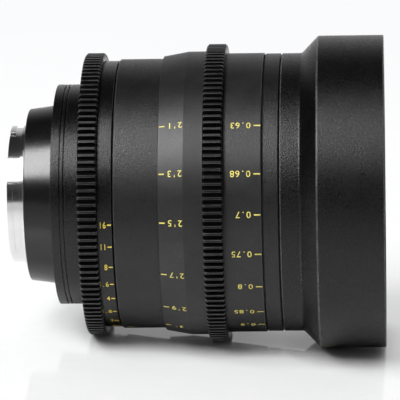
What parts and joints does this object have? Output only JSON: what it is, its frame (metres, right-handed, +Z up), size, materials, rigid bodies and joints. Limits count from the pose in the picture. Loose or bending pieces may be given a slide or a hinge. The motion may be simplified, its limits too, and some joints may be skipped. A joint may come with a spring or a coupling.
{
  "type": "cinema prime lens",
  "caption": "Round cinema lens with geared focus and iris rings, a wide front hood, glass and iris in a sliding block, and a rear bayonet that locks into a camera.",
  "frame": {"origin": "centre of the bayonet's register at the flange face, on the lens axis", "axes": "+X along the lens axis towards the front, +Z up, -Y the side that carries the scales"},
  "size_m": [0.1361, 0.114, 0.114],
  "materials": {
    "barrel_black": "black anodised, fine satin grain",
    "cover_black": "black anodised, turned satin",
    "gear_black": "black anodised, cut teeth",
    "hood_black": "black, blasted and speckled",
    "matt_black": "matt black, light trap",
    "bayonet_chrome": "satin chrome",
    "screw_steel": "machined steel",
    "bare_aluminium": "turned aluminium",
    "helicoid_brass": "turned brass, greased",
    "washer_plastic": "plain bearing plastic",
    "coated_glass": "polished and coated",
    "blade_steel": "blackened spring steel"
  },
  "bodies": {
    "housing": {"bayonet_mount": "bayonet_chrome", "mount_screws": "screw_steel", "mount_shim": "helicoid_brass", "rear_baffle": "matt_black", "rear_cover": "cover_black", "rear_cover_screws": "screw_steel", "rear_barrel": "barrel_black", "iris_stop_pin": "screw_steel", "fixed_barrel": "barrel_black", "fixed_barrel_screws": "screw_steel", "guide_tube": "bare_aluminium", "guide_tube_screws": "screw_steel", "focus_stop_ring": "bare_aluminium", "thrust_washers": "washer_plastic", "index_ring": "barrel_black", "index_ring_screws": "screw_steel", "front_barrel": "hood_black", "front_barrel_screws": "screw_steel", "hood_baffle": "matt_black"},
    "focus_control": {"focus_ring": "barrel_black", "focus_gear": "gear_black", "helicoid_sleeve": "helicoid_brass", "helicoid_screws": "screw_steel", "focus_stop_pin": "screw_steel"},
    "iris_control": {"iris_ring": "barrel_black", "iris_gear": "gear_black", "iris_drive_pin": "screw_steel"},
    "optical_block": {"optical_barrel": "bare_aluminium", "drive_keys": "helicoid_brass", "drive_key_screws": "screw_steel", "front_cell": "matt_black", "front_cell_screws": "screw_steel", "front_retaining_ring": "matt_black", "rear_cell": "matt_black", "rear_retaining_ring": "matt_black", "iris_lock_ring": "bare_aluminium", "lens_spacers": "matt_black", "front_element": "coated_glass", "second_element": "coated_glass", "front_doublet": "coated_glass", "rear_doublet": "coated_glass", "seventh_element": "coated_glass", "eighth_element": "coated_glass", "last_doublet": "coated_glass", "iris_cage": "bare_aluminium", "iris_cover_plate": "bare_aluminium"},
    "iris_scroll": {"iris_actuator": "bare_aluminium"},
    "blade_01": {"iris_blade_01": "blade_steel"},
    "blade_02": {"iris_blade_02": "blade_steel"},
    "blade_03": {"iris_blade_03": "blade_steel"},
    "blade_04": {"iris_blade_04": "blade_steel"},
    "blade_05": {"iris_blade_05": "blade_steel"},
    "blade_06": {"iris_blade_06": "blade_steel"},
    "blade_07": {"iris_blade_07": "blade_steel"},
    "blade_08": {"iris_blade_08": "blade_steel"},
    "blade_09": {"iris_blade_09": "blade_steel"},
    "blade_10": {"iris_blade_10": "blade_steel"},
    "blade_11": {"iris_blade_11": "blade_steel"}
  },
  "joints": [
    {"name": "focus_turn", "type": "hinge", "parent": "housing", "child": "focus_control", "pos_m": [0.0684, 0, 0], "axis": [1, 0, 0], "range_deg": [-175, 125]},
    {"name": "block_slide", "type": "slide", "parent": "housing", "child": "optical_block", "axis": [1, 0, 0], "range_m": [-0.00317, 0.00227]},
    {"name": "iris_turn", "type": "hinge", "parent": "housing", "child": "iris_control", "pos_m": [0.0275, 0, 0], "axis": [1, 0, 0], "range_deg": [-10, 66]},
    {"name": "scroll_turn", "type": "hinge", "parent": "optical_block", "child": "iris_scroll", "pos_m": [0.0593, 0, 0], "axis": [1, 0, 0], "range_deg": [-10.1, 66.1]},
    {"name": "blade_01_turn", "type": "hinge", "parent": "optical_block", "child": "blade_01", "pos_m": [0.0623, 0, -0.03], "axis": [1, 0, 0], "range_deg": [-4.8, 31.6]},
    {"name": "blade_02_turn", "type": "hinge", "parent": "optical_block", "child": "blade_02", "pos_m": [0.0623, 0.01622, -0.02524], "axis": [1, 0, 0], "range_deg": [-4.8, 31.6]},
    {"name": "blade_03_turn", "type": "hinge", "parent": "optical_block", "child": "blade_03", "pos_m": [0.0623, 0.02729, -0.01246], "axis": [1, 0, 0], "range_deg": [-4.8, 31.6]},
    {"name": "blade_04_turn", "type": "hinge", "parent": "optical_block", "child": "blade_04", "pos_m": [0.0623, 0.02969, 0.00427], "axis": [1, 0, 0], "range_deg": [-4.8, 31.6]},
    {"name": "blade_05_turn", "type": "hinge", "parent": "optical_block", "child": "blade_05", "pos_m": [0.0623, 0.02267, 0.01965], "axis": [1, 0, 0], "range_deg": [-4.8, 31.6]},
    {"name": "blade_06_turn", "type": "hinge", "parent": "optical_block", "child": "blade_06", "pos_m": [0.0623, 0.00845, 0.02878], "axis": [1, 0, 0], "range_deg": [-4.8, 31.6]},
    {"name": "blade_07_turn", "type": "hinge", "parent": "optical_block", "child": "blade_07", "pos_m": [0.0623, -0.00845, 0.02878], "axis": [1, 0, 0], "range_deg": [-4.8, 31.6]},
    {"name": "blade_08_turn", "type": "hinge", "parent": "optical_block", "child": "blade_08", "pos_m": [0.0623, -0.02267, 0.01965], "axis": [1, 0, 0], "range_deg": [-4.8, 31.6]},
    {"name": "blade_09_turn", "type": "hinge", "parent": "optical_block", "child": "blade_09", "pos_m": [0.0623, -0.02969, 0.00427], "axis": [1, 0, 0], "range_deg": [-4.8, 31.6]},
    {"name": "blade_10_turn", "type": "hinge", "parent": "optical_block", "child": "blade_10", "pos_m": [0.0623, -0.02729, -0.01246], "axis": [1, 0, 0], "range_deg": [-4.8, 31.6]},
    {"name": "blade_11_turn", "type": "hinge", "parent": "optical_block", "child": "blade_11", "pos_m": [0.0623, -0.01622, -0.02524], "axis": [1, 0, 0], "range_deg": [-4.8, 31.6]}
  ],
  "couplings": [
    {"joint": "block_slide", "follows": "focus_turn", "m_per_rad": 0.0010345},
    {"joint": "scroll_turn", "follows": "iris_turn", "ratio": 1},
    {"joint": "blade_01_turn", "follows": "iris_turn", "ratio": 0.478},
    {"joint": "blade_02_turn", "follows": "iris_turn", "ratio": 0.478},
    {"joint": "blade_03_turn", "follows": "iris_turn", "ratio": 0.478},
    {"joint": "blade_04_turn", "follows": "iris_turn", "ratio": 0.478},
    {"joint": "blade_05_turn", "follows": "iris_turn", "ratio": 0.478},
    {"joint": "blade_06_turn", "follows": "iris_turn", "ratio": 0.478},
    {"joint": "blade_07_turn", "follows": "iris_turn", "ratio": 0.478},
    {"joint": "blade_08_turn", "follows": "iris_turn", "ratio": 0.478},
    {"joint": "blade_09_turn", "follows": "iris_turn", "ratio": 0.478},
    {"joint": "blade_10_turn", "follows": "iris_turn", "ratio": 0.478},
    {"joint": "blade_11_turn", "follows": "iris_turn", "ratio": 0.478}
  ]
}
